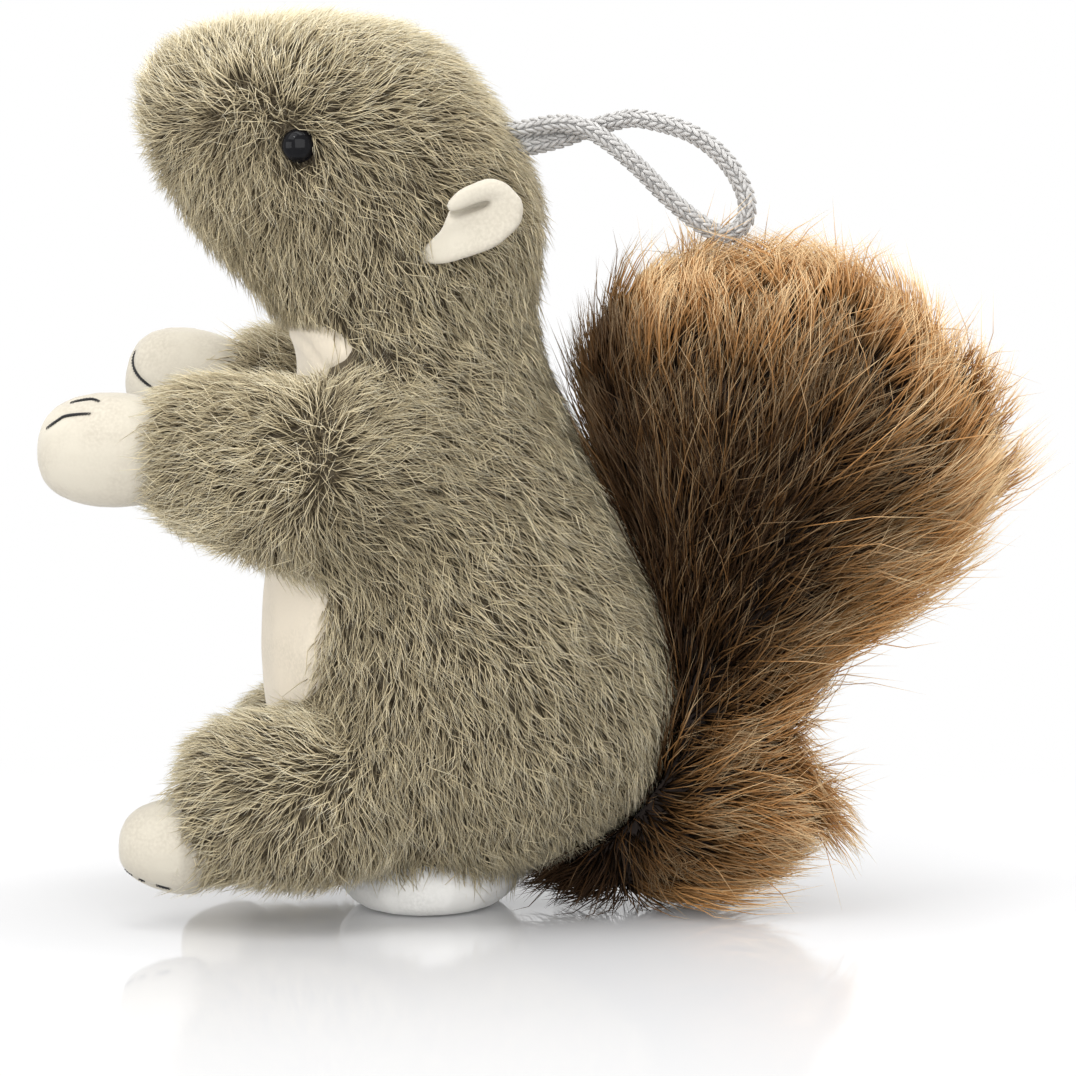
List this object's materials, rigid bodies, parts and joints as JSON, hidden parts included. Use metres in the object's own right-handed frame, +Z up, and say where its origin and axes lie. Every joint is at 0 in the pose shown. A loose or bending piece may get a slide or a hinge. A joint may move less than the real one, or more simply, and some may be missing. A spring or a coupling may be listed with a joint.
{
  "type": "plush squirrel dog toy",
  "caption": "Sitting stuffed squirrel toy of long-haired plush with cream velour paws, ears, belly and seat, a bushy tail and a cord loop behind the head.",
  "frame": {"origin": "middle of the toy's footprint box on the surface that it sits on, the cord loop left out", "axes": "+Z up, the toy faces -Y with its tail towards +Y, and its left side is +X"},
  "size_m": [0.0928, 0.188, 0.1787],
  "materials": {
    "grey_brown_plush": "long soft pile, matte",
    "brown_long_pile": "very long pile, dark at the root and golden at the tip",
    "cream_velour": "short brushed nap, matte",
    "white_fibre_filling": "matte",
    "black_eye_plastic": "polished",
    "white_washer_plastic": "satin",
    "white_squeaker_plastic": "satin",
    "grey_braided_cord": "braided, satin"
  },
  "bodies": {
    "root": {"head_plush": "grey_brown_plush", "torso_plush": "grey_brown_plush", "belly_panel": "cream_velour", "seat_base": "cream_velour", "stuffing": "white_fibre_filling", "squeaker_bladder": "white_squeaker_plastic", "squeaker_reed": "white_washer_plastic", "eye_left": "black_eye_plastic", "eye_right": "black_eye_plastic", "eye_washer_left": "white_washer_plastic", "eye_washer_right": "white_washer_plastic", "ear_left": "cream_velour", "ear_right": "cream_velour", "arm_left": "grey_brown_plush", "arm_right": "grey_brown_plush", "paw_left": "cream_velour", "paw_right": "cream_velour", "leg_left": "grey_brown_plush", "leg_right": "grey_brown_plush", "foot_left": "cream_velour", "foot_right": "cream_velour", "tail": "brown_long_pile", "hang_loop": "grey_braided_cord"}
  },
  "joints": []
}
